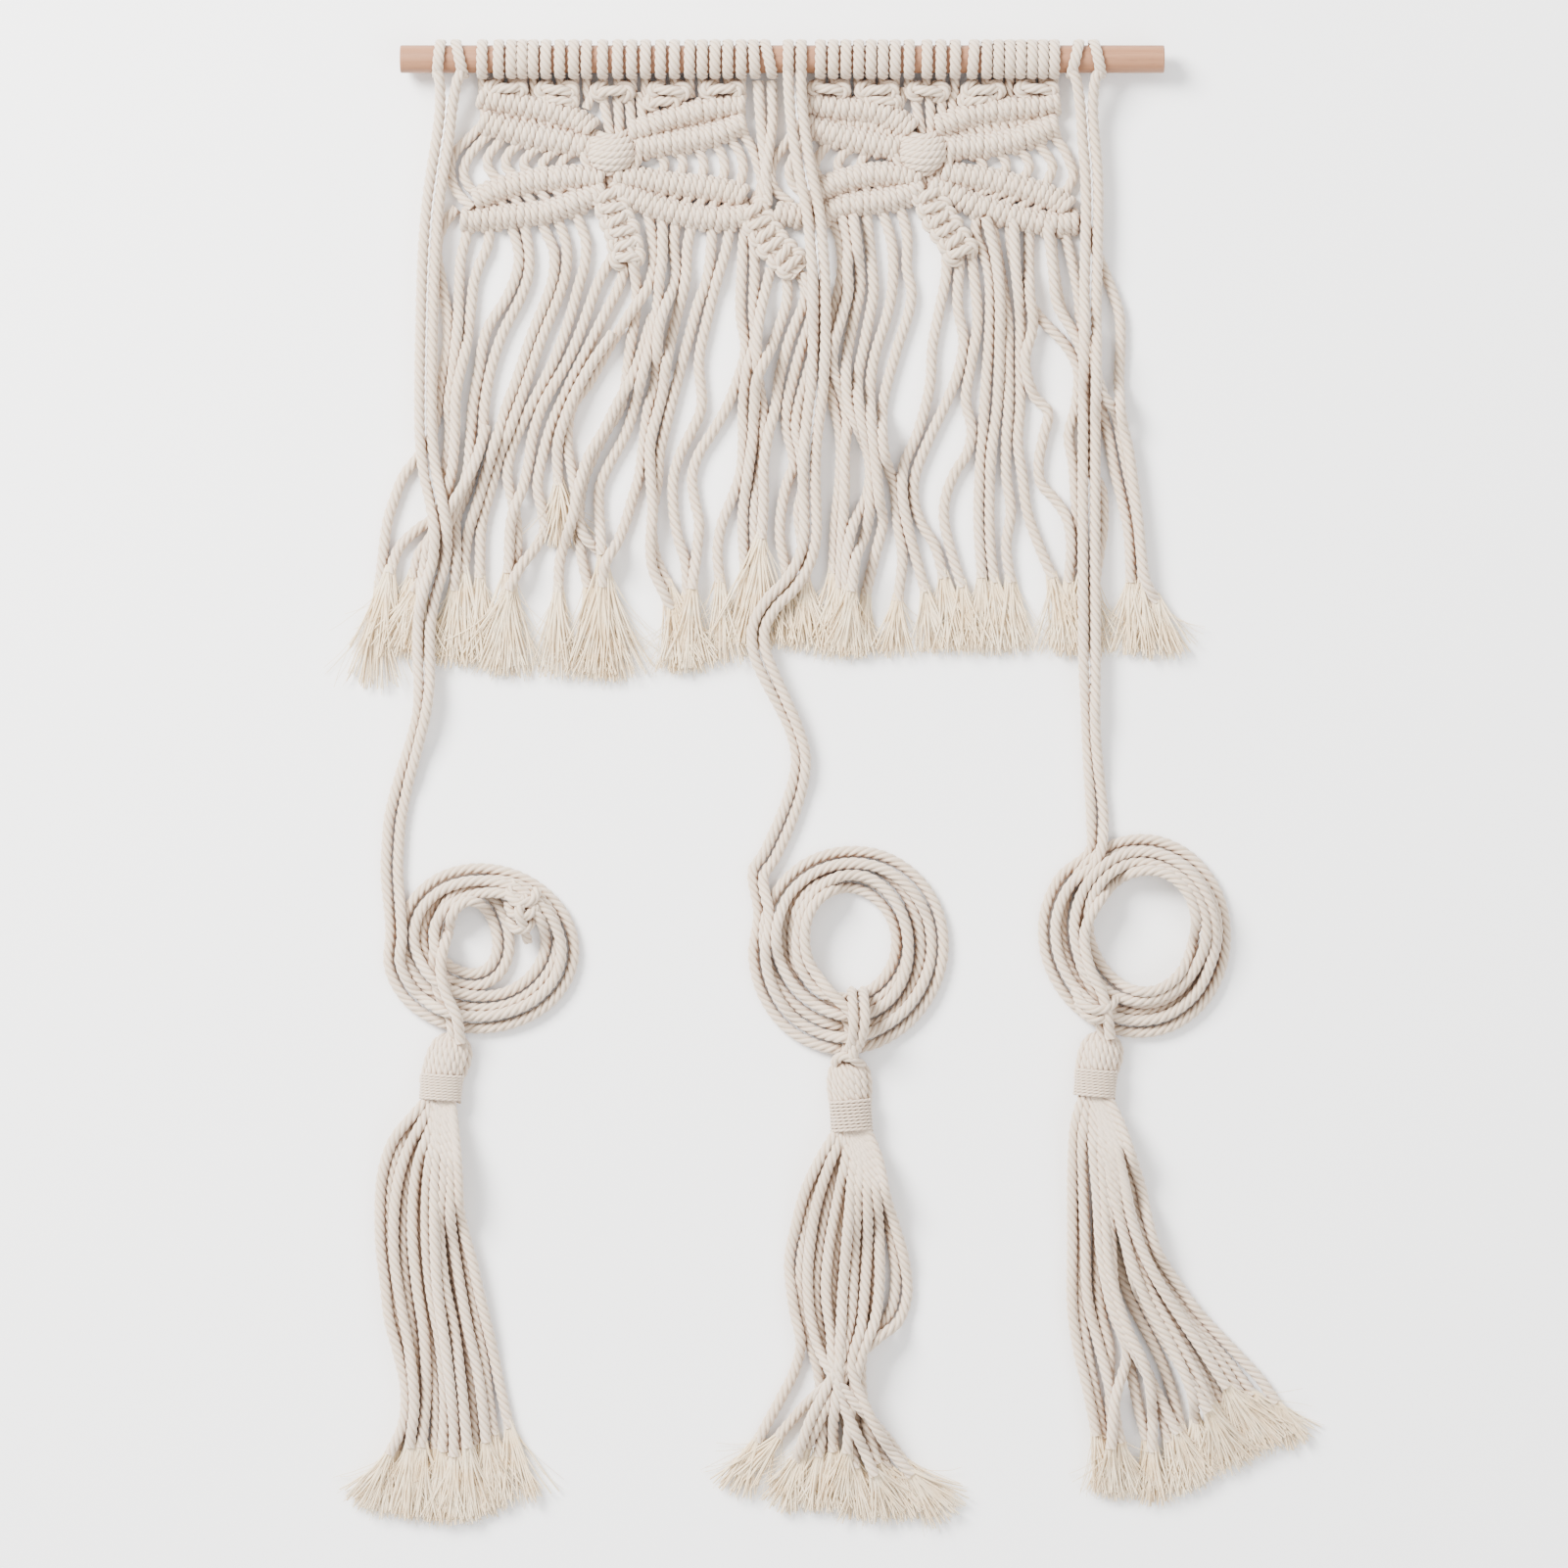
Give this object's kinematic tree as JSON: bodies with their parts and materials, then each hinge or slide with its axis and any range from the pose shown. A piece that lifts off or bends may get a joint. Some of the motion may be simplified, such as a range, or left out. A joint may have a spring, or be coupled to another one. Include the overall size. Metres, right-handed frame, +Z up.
{
  "type": "wall hanging",
  "caption": "Knotted cotton wall hanging on a wooden dowel, with fringed panels and long coiled cords that end in tassels.",
  "frame": {"origin": "on the surface that the hanging lies on, under the middle of its bounding box", "axes": "+Y towards the dowel along the hanging's height, +X along the dowel to the viewer's right, +Z up out of the front of the cloth"},
  "size_m": [0.4148, 0.6512, 0.0178],
  "materials": {
    "dowel": "planed beech, left plain",
    "cotton_cord": "matt twisted cotton cord"
  },
  "bodies": {
    "root": {"fringe_1": "cotton_cord", "fringe_2": "cotton_cord", "fringe_3": "cotton_cord", "fringe_4": "cotton_cord", "fringe_5": "cotton_cord", "fringe_6": "cotton_cord", "fringe_7": "cotton_cord", "fringe_8": "cotton_cord", "fringe_9": "cotton_cord", "joining_sinnet": "cotton_cord", "left_berry_knot": "cotton_cord", "left_coil": "cotton_cord", "left_drop_a": "cotton_cord", "left_drop_b": "cotton_cord", "left_drop_loops": "cotton_cord", "left_knot_row": "cotton_cord", "left_panel_left_arc": "cotton_cord", "left_panel_loops": "cotton_cord", "left_panel_right_arc": "cotton_cord", "left_sinnet": "cotton_cord", "left_wing_bottom_left_inner": "cotton_cord", "left_wing_bottom_left_outer": "cotton_cord", "left_wing_bottom_right_inner": "cotton_cord", "left_wing_bottom_right_outer": "cotton_cord", "left_wing_top_left_inner": "cotton_cord", "left_wing_top_left_outer": "cotton_cord", "left_wing_top_right_inner": "cotton_cord", "left_wing_top_right_outer": "cotton_cord", "middle_coil": "cotton_cord", "middle_drop_a": "cotton_cord", "middle_drop_b": "cotton_cord", "middle_drop_loops": "cotton_cord", "right_berry_knot": "cotton_cord", "right_coil": "cotton_cord", "right_drop_a": "cotton_cord", "right_drop_b": "cotton_cord", "right_drop_loops": "cotton_cord", "right_knot_row": "cotton_cord", "right_panel_left_arc": "cotton_cord", "right_panel_loops": "cotton_cord", "right_panel_right_arc": "cotton_cord", "right_sinnet": "cotton_cord", "right_wing_bottom_left_inner": "cotton_cord", "right_wing_bottom_left_outer": "cotton_cord", "right_wing_bottom_right_inner": "cotton_cord", "right_wing_bottom_right_outer": "cotton_cord", "right_wing_top_left_inner": "cotton_cord", "right_wing_top_left_outer": "cotton_cord", "right_wing_top_right_inner": "cotton_cord", "right_wing_top_right_outer": "cotton_cord"},
    "dowel": {"dowel": "dowel"},
    "left_tassel": {"left_tassel_head": "cotton_cord", "left_tassel_skirt": "cotton_cord", "left_tassel_wrap": "cotton_cord"},
    "middle_tassel": {"middle_tassel_head": "cotton_cord", "middle_tassel_skirt": "cotton_cord", "middle_tassel_wrap": "cotton_cord"},
    "right_tassel": {"right_tassel_head": "cotton_cord", "right_tassel_skirt": "cotton_cord", "right_tassel_wrap": "cotton_cord"}
  },
  "joints": [
    {"name": "dowel_slide", "type": "slide", "parent": "root", "child": "dowel", "axis": [1, 0, 0], "range_m": [-0.32, 0.32]},
    {"name": "left_tassel_swing", "type": "hinge", "parent": "root", "child": "left_tassel", "pos_m": [-0.15907, -0.10631, 0.005], "axis": [0, 0, 1], "range_deg": [-20, 8]},
    {"name": "middle_tassel_swing", "type": "hinge", "parent": "root", "child": "middle_tassel", "pos_m": [0.01073, -0.11351, 0.005], "axis": [0, 0, 1], "range_deg": [-8, 8]},
    {"name": "right_tassel_swing", "type": "hinge", "parent": "root", "child": "right_tassel", "pos_m": [0.12233, -0.10571, 0.005], "axis": [0, 0, 1], "range_deg": [-8, 20]}
  ]
}
